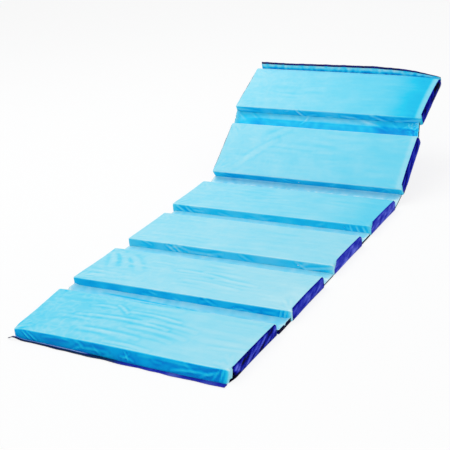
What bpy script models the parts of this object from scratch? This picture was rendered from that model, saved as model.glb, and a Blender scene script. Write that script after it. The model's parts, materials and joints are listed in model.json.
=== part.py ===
"""A folding swim float mat: six foam panels in soft vinyl sheets, joined by fabric webs.

The light blue top sheet covers each panel and drops down its front and rear ends. The royal
blue bottom sheet lies under it and turns up its sides. Between the panels the two sheets lie
on each other at the bottom level and make the folds. Folds 1, 3 and 5 shut with the undersides
together, round one crease in the middle of the web. Folds 2 and 4 shut with the tops together,
so their web has a crease at each side and goes round two panels' thickness.

The mat stands as a lounger: four panels flat, and two raised as a backrest. The first panel is
a little longer, and its sides draw in towards the seam at the foot end. The last panel lies a
little to the left.
Metres, +Z up, X across, Y from the foot end to the head end, origin on the floor under the
middle of the mat.
"""

import math

import bmesh
import bpy
from mathutils import Vector

for item in list(bpy.data.objects):
    bpy.data.objects.remove(item)

# Driving sizes of the panels, in metres
MAT_WIDTH = 0.650
PANEL_LENGTH = 0.205
FOOT_PANEL_LENGTH = 0.227
EDGE_THICKNESS = 0.030
CROWN_RISE = 0.0025
SHOULDER_RADIUS = 0.005
SIDE_DRAW_IN = 0.002
FOOT_DRAW_IN = 0.018
HEAD_SHIFT = 0.016

# The sheets, and the gap between pieces that touch
SHEET = 0.0006
GAP = 0.0003

# The webs between the panels, wall to wall, and their puckers
FOLD_WIDTH = 0.068
CREASE_SETBACK = 0.0035
PUCKER_HEIGHT = 0.0014
PUCKER_SPACING = 0.090
PUCKER_MIDDLE_SHARE = 0.35
WEB_HEM_HEIGHT = 0.012

# The seam at the foot end, and the flange that stands up at the head end
FOOT_SEAM_REACH = 0.009
FOOT_SEAM_THICKNESS = 0.0014
FOOT_SEAM_WAVE = 0.0022
FOOT_SEAM_WAVE_SPACING = 0.160
FOOT_TAIL_OUT = 0.014
FOOT_TAIL_FORWARD = 0.003
HEAD_FLANGE_HEIGHT = 0.014
HEAD_FLANGE_LEAN = 0.006
HEAD_FLANGE_EDGE = 0.003
HEAD_FLANGE_WAVE = 0.0012
HEAD_FLANGE_WAVE_SPACING = 0.055
HEAD_TAPER_START_SHARE = 0.72
HEAD_TAPER_END_SHARE = 0.2

# How the mat lies: each fold's bend from flat, in degrees, upwards positive
REST_BENDS = {1: 0.0, 2: 0.0, 3: 0.0, 4: 34.5, 5: -10.5}
PANELS = (1, 2, 3, 4, 5, 6)
WRAP_FOLDS = (2, 4)
ROOT_PANEL = 2

# How finely the forms are drawn
SHOULDER_STEPS = 2
LENGTH_SHARES = (0.25, 0.5, 0.75)
WIDTH_SHARES = (0.18, 0.5, 0.82)
WEB_COLUMNS = 26
WEB_ROW_SHARES = (0.33, 0.67)
SEAM_COLUMNS = 26
TAIL_COLUMNS = 2
FLANGE_SHARES = (0.0, 0.5, 1.0, 1.2)

TOP_BLUE = (0.27, 0.72, 0.91, 1.0)
WEB_BLUE = (0.07, 0.47, 0.80, 1.0)
ROYAL_BLUE = (0.035, 0.03, 0.42, 1.0)
NAVY = (0.01, 0.01, 0.20, 1.0)
FOAM_WHITE = (0.85, 0.87, 0.88, 1.0)

inner_half_width = MAT_WIDTH / 2 - SHEET - GAP
top_sheet_level = SHEET + GAP
wrap_width = FOLD_WIDTH - 2 * CREASE_SETBACK
half_web_width = FOLD_WIDTH / 2 - CREASE_SETBACK


def material(name, colour, roughness):
    """A soft vinyl or foam finish for one piece."""
    made = bpy.data.materials.new(name)
    made.use_nodes = True
    shader = made.node_tree.nodes["Principled BSDF"]
    shader.inputs["Base Color"].default_value = colour
    shader.inputs["Roughness"].default_value = roughness
    shader.inputs["Metallic"].default_value = 0.0
    return made


def add_piece(name, mesh_build, body, frame, colour, roughness=0.35):
    """Links one piece whose mesh is in its own frame, parented to its body's empty."""
    bmesh.ops.recalc_face_normals(mesh_build, faces=mesh_build.faces)
    mesh = bpy.data.meshes.new(name)
    mesh_build.to_mesh(mesh)
    mesh_build.free()
    mesh.materials.append(material(name, colour, roughness))
    piece = bpy.data.objects.new(name, mesh)
    bpy.context.scene.collection.objects.link(piece)
    place, angle = frame
    axis_place, _ = body_axes[body]
    piece.parent = body_empties[body]
    away = place - axis_place
    cosine, sine = math.cos(angle), math.sin(angle)
    piece.location = (away.x, away.y * cosine + away.z * sine, away.z * cosine - away.y * sine)
    return piece


def grid(build, rows):
    """Puts a table of points into the mesh and returns the table of its vertices."""
    return [[build.verts.new(point) for point in row] for row in rows]


def skin(build, table):
    """Faces over a table of vertices."""
    for low, high in zip(table, table[1:]):
        for number in range(len(low) - 1):
            build.faces.new((low[number], low[number + 1], high[number + 1], high[number]))


def join_edges(build, one, other):
    """Faces between two equal runs of vertices."""
    for number in range(len(one) - 1):
        build.faces.new((one[number], one[number + 1], other[number + 1], other[number]))


def sheet_between(outer_rows, inner_rows):
    """A closed sheet between two tables of points of the same shape."""
    build = bmesh.new()
    outer, inner = grid(build, outer_rows), grid(build, inner_rows)
    skin(build, outer)
    skin(build, inner)
    join_edges(build, outer[0], inner[0])
    join_edges(build, outer[-1], inner[-1])
    join_edges(build, [row[0] for row in outer], [row[0] for row in inner])
    join_edges(build, [row[-1] for row in outer], [row[-1] for row in inner])
    return build


def shoulder(depth):
    """Steps round a rounded edge at a depth under the outer face: how far in, and how far down."""
    radius = SHOULDER_RADIUS - depth
    turns = [math.pi / 2 * step / SHOULDER_STEPS for step in range(SHOULDER_STEPS + 1)]
    return [
        (depth + radius * (1 - math.cos(turn)), radius * (1 - math.sin(turn))) for turn in turns
    ]


def stations(span, depth, shares):
    """Places across a span from edge to edge, each with its drop below the top."""
    near = shoulder(depth)
    middle = span - 2 * SHOULDER_RADIUS
    inside = [(SHOULDER_RADIUS + share * middle, 0.0) for share in shares]
    far = [(span - place, drop) for place, drop in reversed(near)]
    return near + inside + far


def half_width(along):
    """Half the mat's width at a place along a panel: the sides draw in between the corners."""
    middle = 2 * along / PANEL_LENGTH - 1
    return MAT_WIDTH / 2 - SIDE_DRAW_IN * (1 - middle**2)


def crown_height(across, along):
    """The panel's height where nothing is rounded off: highest in its middle."""
    side = min(1.0, abs(across) / half_width(along))
    middle = 2 * along / PANEL_LENGTH - 1
    return EDGE_THICKNESS + CROWN_RISE * (1 - side**4) * (1 - middle**2)


def top_row(along, drop, depth):
    """One row of the panel's top across the mat, at a depth under its outer face."""
    wide = 2 * half_width(along)
    row = []
    for place, side_drop in stations(wide, depth, WIDTH_SHARES):
        across = place - wide / 2
        height = crown_height(across, along) - depth - drop - side_drop
        row.append(Vector((across, along, height)))
    return row


def top_rows(depth):
    """The panel's top from its front edge to its rear edge, at a depth under its outer face."""
    return [
        top_row(along, drop, depth)
        for along, drop in stations(PANEL_LENGTH, depth, LENGTH_SHARES)
    ]


def narrowed(row):
    """A row drawn in to stand between the side walls."""
    share = inner_half_width / row[-1].x
    return [Vector((point.x * share, point.y, point.z)) for point in row]


def at_level(row, along, level):
    """The same row moved to a place along the panel and a level."""
    return [Vector((point.x, along, level)) for point in row]


def lip_end(level):
    """How far a web's end stands back from its crease line at a level, cut at 45 degrees."""
    return level + GAP / 2


def foot_rows(edge_row, along, outwards, level, lip):
    """The end wall of a top sheet from the lip in the web, or from its foot, to the top."""
    wall = narrowed(edge_row)
    rows = []
    if lip:
        end = lip_place(outwards, level)
        rows.append(at_level(wall, end, level))
    rows.append(at_level(wall, along, level))
    rows.append(wall)
    return rows


def lip_place(outwards, level):
    """Where a lip ends, on the front side or the rear side of a panel."""
    reach = CREASE_SETBACK - lip_end(level)
    return -reach if outwards < 0 else PANEL_LENGTH + reach


def sheet_rows(depth, front_lip, rear_lip, rear_wall):
    """One face of a top sheet, from the front web over the panel to the rear web."""
    rows = top_rows(depth)
    front_level = top_sheet_level + (SHEET - depth if front_lip else 0.0)
    rear_level = top_sheet_level + (SHEET - depth if rear_lip else 0.0)
    front = foot_rows(rows[0], depth, -1, front_level, front_lip)
    rear = foot_rows(rows[-1], PANEL_LENGTH - depth, 1, rear_level, rear_lip)
    if not rear_wall:
        rear = [narrowed(rows[-1])]
    return front + rows[1:-1] + list(reversed(rear))


def top_sheet(front_lip, rear_lip, rear_wall):
    """The light blue sheet over a panel and down its ends."""
    arguments = (front_lip, rear_lip, rear_wall)
    return sheet_between(sheet_rows(0.0, *arguments), sheet_rows(SHEET, *arguments))


def side_wall_top(drop):
    """The height of a side wall's top edge, just under the top sheet's edge."""
    corner_room = top_sheet_level if drop else 0.0
    return EDGE_THICKNESS - SHOULDER_RADIUS - drop - GAP - corner_room


def bottom_sheet(front_lip, rear_lip):
    """The royal blue sheet under a panel, turned up at its two sides."""
    build = bmesh.new()
    rings = []
    for along, drop in stations(PANEL_LENGTH, 0.0, LENGTH_SHARES):
        outer, top = half_width(along), side_wall_top(drop)
        inner = outer - SHEET
        profile = (
            (outer, top), (outer, 0.0), (-outer, 0.0), (-outer, top),
            (-inner, top), (-inner, SHEET), (inner, SHEET), (inner, top),
        )
        rings.append([build.verts.new((across, along, up)) for across, up in profile])
    for one, other in zip(rings, rings[1:]):
        for number in range(len(one)):
            follower = (number + 1) % len(one)
            build.faces.new((one[number], one[follower], other[follower], other[number]))
    for ring, outwards, lip in ((rings[0], -1, front_lip), (rings[-1], 1, rear_lip)):
        build.faces.new((ring[0], ring[1], ring[6], ring[7]))
        build.faces.new((ring[2], ring[3], ring[4], ring[5]))
        plate = [ring[1], ring[2], ring[5], ring[6]]
        if lip:
            ends = []
            for corner in plate:
                place = lip_place(outwards, corner.co.z)
                ends.append(build.verts.new((corner.co.x, place, corner.co.z)))
            for number in range(4):
                follower = (number + 1) % 4
                build.faces.new((plate[number], plate[follower], ends[follower], ends[number]))
            plate = ends
        build.faces.new(plate)
    return build


def foam_core():
    """The closed-cell foam slab that fills the sheets."""
    depth = SHEET + GAP
    rows = top_rows(depth)
    front = at_level(rows[0], depth, depth)
    rear = at_level(rows[-1], PANEL_LENGTH - depth, depth)
    build = bmesh.new()
    table = grid(build, [front] + rows + [rear])
    skin(build, table)
    underside = list(table[0])
    for side in (-1, 0):
        edge = [row[side] for row in table[1:-1]]
        lower = [build.verts.new((point.co.x, point.co.y, depth)) for point in edge[1:-1]]
        lower = [table[0][side]] + lower + [table[-1][side]]
        join_edges(build, edge, lower)
        if side == -1:
            underside += lower[1:-1] + list(reversed(table[-1]))
        else:
            underside += list(reversed(lower[1:-1]))
    build.faces.new(underside)
    return build


def pucker(across, share):
    """How far the gathered top layer of a web stands up: most near the mat's sides."""
    wave = 0.5 + 0.5 * math.sin(2 * math.pi * across / PUCKER_SPACING + math.pi * share)
    side = abs(across) / inner_half_width
    swell_share = PUCKER_MIDDLE_SHARE + (1 - PUCKER_MIDDLE_SHARE) * side**2
    return PUCKER_HEIGHT * wave * swell_share * math.sin(math.pi * share)


def web_layer(width, level, pucker_share):
    """One layer of a web from crease to crease, its ends cut back at 45 degrees."""
    columns = [
        inner_half_width * (2 * number / WEB_COLUMNS - 1) for number in range(WEB_COLUMNS + 1)
    ]
    if not pucker_share:
        columns = [columns[0], columns[-1]]
    shares = (0.0,) + (WEB_ROW_SHARES if pucker_share else ()) + (1.0,)
    tables = []
    for height in (level + SHEET, level):
        start, end = lip_end(height), width - lip_end(height)
        rows = []
        for share in shares:
            along = start + share * (end - start)
            rows.append(
                [
                    Vector((across, along, height + pucker_share * pucker(across, share)))
                    for across in columns
                ]
            )
        tables.append(rows)
    return sheet_between(*tables)


def half_web_bottom(rear_half):
    """The blue layer of half a web, its sides turned up low between the panel and the crease."""
    outer = MAT_WIDTH / 2
    inner = outer - SHEET
    profile = (
        (outer, WEB_HEM_HEIGHT), (outer, 0.0), (-outer, 0.0), (-outer, WEB_HEM_HEIGHT),
        (-inner, WEB_HEM_HEIGHT), (-inner, SHEET), (inner, SHEET), (inner, WEB_HEM_HEIGHT),
    )
    build = bmesh.new()
    rings = [[], []]
    for across, up in profile:
        at_panel = GAP - CREASE_SETBACK if up > SHEET else lip_end(up)
        at_crease = half_web_width - lip_end(up)
        for ring, along in zip(rings, (at_panel, at_crease)):
            place = half_web_width - along if rear_half else along
            ring.append(build.verts.new((across, place, up)))
    join_edges(build, rings[0] + rings[0][:1], rings[1] + rings[1][:1])
    for ring in rings:
        build.faces.new((ring[0], ring[1], ring[6], ring[7]))
        build.faces.new((ring[2], ring[3], ring[4], ring[5]))
        build.faces.new((ring[1], ring[2], ring[5], ring[6]))
    return build


def drawn_out_at_foot(build):
    """Gives the first panel its own length, and draws its sides in towards the foot end."""
    for vertex in build.verts:
        share = min(max(vertex.co.y / PANEL_LENGTH, 0.0), 1.0)
        vertex.co.x *= 1 - FOOT_DRAW_IN * (1 - share) / (MAT_WIDTH / 2)
        vertex.co.y += (FOOT_PANEL_LENGTH - PANEL_LENGTH) * share
    return build


def drawn_aside(build, rear_half):
    """Shears half of the last web, which leads over to the shifted head panel."""
    for vertex in build.verts:
        share = min(max(vertex.co.y / half_web_width, 0.0), 1.0)
        vertex.co.x += HEAD_SHIFT / 2 * (1 - share if rear_half else -share)
    return build


def foot_seam():
    """The bound seam along the bottom of the foot end, with its loose corner at the left."""
    outer, inner = [], []
    reach = MAT_WIDTH / 2
    for number in range(SEAM_COLUMNS + 1):
        share = number / SEAM_COLUMNS
        across = -reach + share * 2 * reach
        wave = 0.5 - 0.5 * math.cos(2 * math.pi * across / FOOT_SEAM_WAVE_SPACING)
        front = -FOOT_SEAM_REACH + FOOT_SEAM_WAVE * wave
        lift = GAP + FOOT_SEAM_WAVE / 2 * wave
        tail = max(0.0, 1 - number / TAIL_COLUMNS)
        across -= FOOT_TAIL_OUT * tail
        front -= FOOT_TAIL_FORWARD * tail
        back = -GAP - FOOT_TAIL_FORWARD * tail
        outer.append((across, front, lift + FOOT_SEAM_THICKNESS, back))
        inner.append((across, front, lift, back))
    tables = []
    for edge in (outer, inner):
        front_row = [Vector((across, front, up)) for across, front, up, _ in edge]
        back_row = [Vector((across, back, up)) for across, _, up, back in edge]
        tables.append([front_row, back_row])
    return sheet_between(*tables)


def head_end_wall():
    """The bottom sheet's end, turned up behind the last panel."""
    edge = narrowed(top_rows(0.0)[-1])
    tables = []
    for along in (PANEL_LENGTH, PANEL_LENGTH - SHEET):
        low = at_level(edge, along, top_sheet_level)
        high = [Vector((point.x, along, point.z - GAP)) for point in edge]
        tables.append([low, high])
    return sheet_between(*tables)


def flange_share(across):
    """How much of its height the head flange has: it runs down to the corner on the right."""
    side = across / inner_half_width
    fall = max(0.0, (side - HEAD_TAPER_START_SHARE) / (1 - HEAD_TAPER_START_SHARE))
    return 1 - (1 - HEAD_TAPER_END_SHARE) * fall**1.5


def head_flange(layer):
    """One of the two layers of the seam flange behind the head end's top edge."""
    edge_level = EDGE_THICKNESS - 2 * SHOULDER_RADIUS
    near = PANEL_LENGTH + GAP + layer * (SHEET + GAP)
    full_rise = HEAD_FLANGE_HEIGHT + 2 * SHOULDER_RADIUS
    across_steps = [
        inner_half_width * (2 * number / SEAM_COLUMNS - 1) for number in range(SEAM_COLUMNS + 1)
    ]
    faces = []
    for depth in (0.0, SHEET):
        rows = []
        for share in FLANGE_SHARES:
            row = []
            for across in across_steps:
                rise = full_rise * flange_share(across) * min(share, 1.0)
                if share > 1:
                    rise += HEAD_FLANGE_EDGE
                wave = 1 + math.sin(2 * math.pi * across / HEAD_FLANGE_WAVE_SPACING)
                lean = (HEAD_FLANGE_LEAN + HEAD_FLANGE_WAVE * wave) * (rise / full_rise) ** 2
                row.append(Vector((across, near + depth + lean, edge_level + rise)))
            rows.append(row)
        faces.append(rows if layer else rows[:-1])
    return sheet_between(*faces)


def length_of(panel):
    """A panel's length along the mat."""
    return FOOT_PANEL_LENGTH if panel == PANELS[0] else PANEL_LENGTH


def onward(place, angle, length):
    """The place reached by going a length along the mat at an angle above level."""
    return place + length * Vector((0.0, math.cos(angle), math.sin(angle)))


def lay_out(root_front):
    """Frames of the panels and webs, and the axis of each crease, from the root panel outwards."""
    panel_frames, web_frames, axes = {}, {}, {}
    place, angle = Vector((0.0, root_front, 0.0)), 0.0
    panel_frames[ROOT_PANEL] = (place, angle)
    for fold in range(ROOT_PANEL, PANELS[-1]):
        bend = math.radians(REST_BENDS[fold])
        rear = onward(place, angle, PANEL_LENGTH)
        if fold in WRAP_FOLDS:
            crease = onward(rear, angle, CREASE_SETBACK)
            axes[fold, "near"] = crease
            web_angle = angle + bend / 2
            web_frames[fold] = (crease, web_angle)
            far_crease = onward(crease, web_angle, wrap_width)
            axes[fold, "far"] = far_crease
            angle += bend
            place = onward(far_crease, angle, CREASE_SETBACK)
        else:
            crease = onward(rear, angle, FOLD_WIDTH / 2)
            axes[fold, "middle"] = crease
            angle += bend
            place = onward(crease, angle, FOLD_WIDTH / 2)
        panel_frames[fold + 1] = (place, angle)
    place, angle = panel_frames[ROOT_PANEL]
    for fold in range(ROOT_PANEL - 1, 0, -1):
        crease = onward(place, angle, -FOLD_WIDTH / 2)
        axes[fold, "middle"] = crease
        angle -= math.radians(REST_BENDS[fold])
        place = onward(crease, angle, -FOLD_WIDTH / 2 - length_of(fold))
        panel_frames[fold] = (place, angle)
    return panel_frames, web_frames, axes


# The origin is midway between the foot seam and the head end
trial_frames, _, _ = lay_out(0.0)
foot_end = trial_frames[PANELS[0]][0].y - FOOT_SEAM_REACH
head_end = onward(*trial_frames[PANELS[-1]], PANEL_LENGTH).y
panel_frames, web_frames, crease_axes = lay_out(-(foot_end + head_end) / 2)
head_place, head_angle = panel_frames[PANELS[-1]]
panel_frames[PANELS[-1]] = (head_place - Vector((HEAD_SHIFT, 0.0, 0.0)), head_angle)

# Each body turns about the crease that joins it to the body nearer the root panel
body_axes = {
    "panel_1": (crease_axes[1, "middle"], panel_frames[1][1]),
    "panel_2": panel_frames[2],
    "web_2": (crease_axes[2, "near"], web_frames[2][1]),
    "panel_3": (crease_axes[2, "far"], panel_frames[3][1]),
    "panel_4": (crease_axes[3, "middle"], panel_frames[4][1]),
    "web_4": (crease_axes[4, "near"], web_frames[4][1]),
    "panel_5": (crease_axes[4, "far"], panel_frames[5][1]),
    "panel_6": (crease_axes[5, "middle"], panel_frames[6][1]),
}
body_empties = {}
for body_name, (axis_place, body_angle) in body_axes.items():
    empty = bpy.data.objects.new(body_name + "_axis", None)
    bpy.context.scene.collection.objects.link(empty)
    empty.location = axis_place
    empty.rotation_euler = (body_angle, 0.0, 0.0)
    body_empties[body_name] = empty

for panel in PANELS:
    body_name, frame = f"panel_{panel}", panel_frames[panel]
    first, last = panel == PANELS[0], panel == PANELS[-1]
    core = foam_core()
    upper = top_sheet(not first, not last, not last)
    lower = bottom_sheet(not first, not last)
    if first:
        core, upper, lower = (drawn_out_at_foot(build) for build in (core, upper, lower))
    add_piece(f"foam_core_{panel}", core, body_name, frame, FOAM_WHITE, 0.9)
    add_piece(f"top_sheet_{panel}", upper, body_name, frame, TOP_BLUE)
    add_piece(f"bottom_sheet_{panel}", lower, body_name, frame, ROYAL_BLUE)

for fold in WRAP_FOLDS:
    body_name, frame = f"web_{fold}", web_frames[fold]
    upper = web_layer(wrap_width, top_sheet_level, 1.0)
    add_piece(f"web_{fold}_top", upper, body_name, frame, WEB_BLUE)
    add_piece(f"web_{fold}_bottom", web_layer(wrap_width, 0.0, 0.0), body_name, frame, ROYAL_BLUE)

for fold in (number for number in REST_BENDS if number not in WRAP_FOLDS):
    for side, panel in (("front", fold), ("rear", fold + 1)):
        place, angle = panel_frames[panel]
        if side == "front":
            start = onward(place, angle, length_of(panel) + CREASE_SETBACK)
        else:
            start = onward(place, angle, -FOLD_WIDTH / 2)
        frame = (start, angle)
        upper = web_layer(half_web_width, top_sheet_level, 1.0)
        lower = half_web_bottom(side == "rear")
        if panel_frames[fold][0].x != panel_frames[fold + 1][0].x:
            upper, lower = (drawn_aside(build, side == "rear") for build in (upper, lower))
        add_piece(f"web_{fold}_top_{side}", upper, f"panel_{panel}", frame, WEB_BLUE)
        add_piece(f"web_{fold}_bottom_{side}", lower, f"panel_{panel}", frame, ROYAL_BLUE)

head_body, head_frame = f"panel_{PANELS[-1]}", panel_frames[PANELS[-1]]
add_piece("foot_seam", drawn_out_at_foot(foot_seam()), "panel_1", panel_frames[1], NAVY)
add_piece("head_end_wall", head_end_wall(), head_body, head_frame, ROYAL_BLUE)
add_piece("head_flange_top", head_flange(0), head_body, head_frame, WEB_BLUE)
add_piece("head_flange_bottom", head_flange(1), head_body, head_frame, NAVY)
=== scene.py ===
"""A folding swim float mat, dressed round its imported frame: six foam pads in soft PVC covers.

The mat lies with four pads flat and two raised as a backrest. Metres, +Z up, X across the mat,
Y from its foot end to its head end. A table that is in millimetres says so in its comment.
"""

import json
import math

import bpy
import numpy as np
from mathutils import Matrix, Vector, noise


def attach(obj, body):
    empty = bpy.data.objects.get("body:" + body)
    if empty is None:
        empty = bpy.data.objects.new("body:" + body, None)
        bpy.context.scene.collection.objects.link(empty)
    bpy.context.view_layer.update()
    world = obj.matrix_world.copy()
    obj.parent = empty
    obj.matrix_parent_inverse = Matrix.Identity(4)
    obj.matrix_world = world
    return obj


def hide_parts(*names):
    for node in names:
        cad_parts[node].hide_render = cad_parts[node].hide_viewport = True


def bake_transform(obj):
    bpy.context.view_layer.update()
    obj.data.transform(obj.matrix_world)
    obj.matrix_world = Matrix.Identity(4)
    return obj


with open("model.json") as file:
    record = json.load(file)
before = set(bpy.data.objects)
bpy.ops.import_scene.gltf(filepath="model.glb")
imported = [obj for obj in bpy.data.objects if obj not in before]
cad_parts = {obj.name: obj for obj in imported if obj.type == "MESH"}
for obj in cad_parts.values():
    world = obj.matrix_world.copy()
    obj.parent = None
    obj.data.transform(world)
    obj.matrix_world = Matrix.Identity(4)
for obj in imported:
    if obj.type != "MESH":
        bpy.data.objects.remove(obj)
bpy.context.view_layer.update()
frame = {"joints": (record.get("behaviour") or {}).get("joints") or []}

# Camera: a long lens from the right of the foot end, above the mat and a little tilted.
# Its place and angles were fitted to the corners of the six pads.
CAMERA_PLACE = Vector((1.41893, -2.64207, 1.29723))
CAMERA_TURN, CAMERA_DROP, CAMERA_ROLL = (math.radians(a) for a in (-29.936, 22.760, -5.589))
LENS_MM, SENSOR_MM, NEAREST_SEEN = 88.86, 36.0, 0.05

ahead = Vector((
    math.sin(CAMERA_TURN) * math.cos(CAMERA_DROP),
    math.cos(CAMERA_TURN) * math.cos(CAMERA_DROP),
    -math.sin(CAMERA_DROP),
))
level = ahead.cross(Vector((0, 0, 1))).normalized()
upright = level.cross(ahead)
cosine, sine = math.cos(CAMERA_ROLL), math.sin(CAMERA_ROLL)
right, up = cosine * level + sine * upright, cosine * upright - sine * level
camera = bpy.data.objects.new("camera", bpy.data.cameras.new("camera"))
camera.data.lens, camera.data.sensor_width = LENS_MM, SENSOR_MM
camera.data.clip_start = NEAREST_SEEN
turn = Matrix((right, up, -ahead)).transposed()
camera.matrix_world = Matrix.Translation(CAMERA_PLACE) @ turn.to_4x4()
bpy.context.scene.collection.objects.link(camera)
bpy.context.scene.camera = camera
bpy.context.scene.view_settings.view_transform = "Standard"

# Floor and light: a white studio sweep under a broad soft lamp from above and the left, with a
# weaker one at the foot end. To the camera the floor is nearly white and keeps a faint shadow.
FLOOR_WHITE = "#FBFCFD"
FLOOR_SPAN, FLOOR_DROP, FLOOR_GLOW = 60.0, 0.0006, 0.84
FLOOR_ROUGHNESS, FLOOR_SHEEN = 0.9, 0.1
# Each lamp's name, place, aim, size in metres and power in watts
LAMPS = (
    ("key", (-1.2, 0.5, 2.7), (0.0, 0.0, 0.1), 2.4, 38.0),
    ("fill", (1.2, -2.8, 2.1), (0.0, -0.1, 0.0), 2.0, 22.0),
)
SKY_STRENGTH = 0.55


def linear(hex_colour):
    """The linear colour of an sRGB hex value."""
    shares = [int(hex_colour[place:place + 2], 16) / 255 for place in (1, 3, 5)]
    return [s / 12.92 if s <= 0.04045 else ((s + 0.055) / 1.055) ** 2.4 for s in shares] + [1.0]


def add_node(tree, kind, inputs, **settings):
    """Adds a node to a tree with its settings, and sets or links its inputs by name or number."""
    made = tree.nodes.new("ShaderNode" + kind)
    for name, value in settings.items():
        setattr(made, name, value)
    for name, value in inputs.items():
        if isinstance(value, bpy.types.NodeSocket):
            tree.links.new(value, made.inputs[name])
        else:
            made.inputs[name].default_value = value
    return made


def new_material(name):
    """An empty node material: its tree, its Principled shader and the object's own coordinates."""
    made = bpy.data.materials.new(name)
    made.use_nodes = True
    tree = made.node_tree
    place = add_node(tree, "TexCoord", {}).outputs["Object"]
    return made, tree, tree.nodes["Principled BSDF"], place


def seen_rays(tree):
    """Is 1 where the camera, or a mirror or glass, looks, and 0 for light on its way."""
    rays = add_node(tree, "LightPath", {}).outputs
    seen = rays["Is Camera Ray"]
    for kind in ("Is Glossy Ray", "Is Transmission Ray"):
        seen = add_node(tree, "Math", {0: seen, 1: rays[kind]}, operation="MAXIMUM").outputs[0]
    return seen


floor_mesh = bpy.data.meshes.new("floor")
half = FLOOR_SPAN / 2
floor_corners = ((-half, -half), (half, -half), (half, half), (-half, half))
floor_mesh.from_pydata([(x, y, -FLOOR_DROP) for x, y in floor_corners], [], [(0, 1, 2, 3)])
floor = bpy.data.objects.new("floor", floor_mesh)
bpy.context.scene.collection.objects.link(floor)
# Painted studio floor: matt white paint, which mirrors nothing and leaves only a faint shadow
sweep, tree, shader, _ = new_material("painted studio floor")
shader.inputs["Base Color"].default_value = linear(FLOOR_WHITE)
shader.inputs["Roughness"].default_value = FLOOR_ROUGHNESS
shader.inputs["Specular IOR Level"].default_value = FLOOR_SHEEN
white = add_node(tree, "Emission", {"Color": (1, 1, 1, 1), "Strength": 1.0})
share = add_node(tree, "Math", {0: seen_rays(tree), 1: FLOOR_GLOW}, operation="MULTIPLY")
mixed = add_node(tree, "MixShader", {0: share.outputs[0], 1: shader.outputs[0], 2: white.outputs[0]})
tree.links.new(mixed.outputs[0], tree.nodes["Material Output"].inputs["Surface"])
floor_mesh.materials.append(sweep)

world = bpy.data.worlds.new("studio")
world.use_nodes = True
bpy.context.scene.world = world
tree = world.node_tree
dim = tree.nodes["Background"]
dim.inputs["Color"].default_value = (1, 1, 1, 1)
dim.inputs["Strength"].default_value = SKY_STRENGTH
bright = add_node(tree, "Background", {"Color": (1, 1, 1, 1), "Strength": 1.0})
mixed = add_node(tree, "MixShader", {0: seen_rays(tree), 1: dim.outputs[0], 2: bright.outputs[0]})
tree.links.new(mixed.outputs[0], tree.nodes["World Output"].inputs["Surface"])
for name, at, towards, size, power in LAMPS:
    lamp = bpy.data.lights.new(name, "AREA")
    lamp.size, lamp.energy = size, power
    holder = bpy.data.objects.new(name, lamp)
    holder.location = at
    holder.rotation_euler = (Vector(towards) - Vector(at)).to_track_quat("-Z", "Y").to_euler()
    bpy.context.scene.collection.objects.link(holder)

# Foam slabs: closed-cell polyethylene foam, cut from 30 mm sheet, one in each pad. They don't
# show: the covers hold them tight. This section also has the shape that slabs and covers share.
PADS = (1, 2, 3, 4, 5, 6)
MAT_WIDTH, PAD_LENGTH, FOOT_PAD_LENGTH, THICKNESS = 0.650, 0.205, 0.227, 0.030
FOLD_WIDTH, CREASE_SETBACK = 0.068, 0.0035
SHOULDER, CORNER, HEEL = 0.0050, 0.0075, 0.0016
CROWN, SIDE_DRAW_IN, FOOT_DRAW_IN, HEAD_SHIFT = 0.0025, 0.002, 0.018, 0.016
# How far each pad bulges out past the straight side at its left front, left rear, right front and
# right rear corner, in millimetres, and how far the head pad's right rear corner sags
CORNER_BULGES = {
    1: (0, 0, 12, -3), 2: (6, -1, 3, 4), 3: (0, -4, 1, 3),
    4: (9, 8, 1, 3), 5: (1, 1, 6, 7), 6: (4, 3, 9, 13),
}
HEAD_SAG = 0.009
# The foot end is pulled out towards its right corner, which is drawn in. Its left corner is
# squashed thinner and lifted off the ground.
FOOT_PULL, FOOT_PULL_SPAN = 0.009, (-0.08, 0.28)
FOOT_CORNER_IN, FOOT_CORNER_SPAN = 0.006, (0.022, 0.002)
FOOT_SQUASH, FOOT_LIFT, FOOT_LIFT_WIDTH, FOOT_LIFT_SPAN = 0.30, 0.005, 0.032, (0.030, 0.002)
BACKREST_TILT, HEAD_TILT = math.radians(34.5), math.radians(24.0)
COVER_GAP = 0.0014
# The mesh: its step on the foam, the tallest step of a wall, the shares of a corner that have a
# line of points, and the turns of the shoulder and of the heel that have a ring, in degrees
FOAM_STEP, WALL_STEP, CORNER_SHARES = 0.012, 0.0028, (0.28, 0.6, 1.0)
SHOULDER_TURNS, HEEL_TURNS = (24, 46, 66, 80, 90), (45, 90)
# A wall's face belongs to a side or to the rear end when it looks that way by at least this share
SIDE_FACING, REAR_FACING = 0.93, 0.38
FRONT_END, SIDE, REAR_END = 0, 1, 2
FOAM_WHITE, FOAM_SHADE = "#F2F4F3", "#DDE1E0"
FOAM_CELL, FOAM_PITTING, FOAM_RELIEF, FOAM_ROUGHNESS = 0.0012, 0.0003, 0.5, 0.85

creases = {joint["name"]: Vector(joint["pos_m"]) for joint in frame["joints"]}


def length_of(pad):
    """How long a pad is: the one at the foot end is longer than the rest."""
    return FOOT_PAD_LENGTH if pad == PADS[0] else PAD_LENGTH


def along_mat(start, angle, length):
    """The place reached from a start by a length along the mat at an angle above level."""
    return start + length * Vector((0, math.cos(angle), math.sin(angle)))


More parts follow.
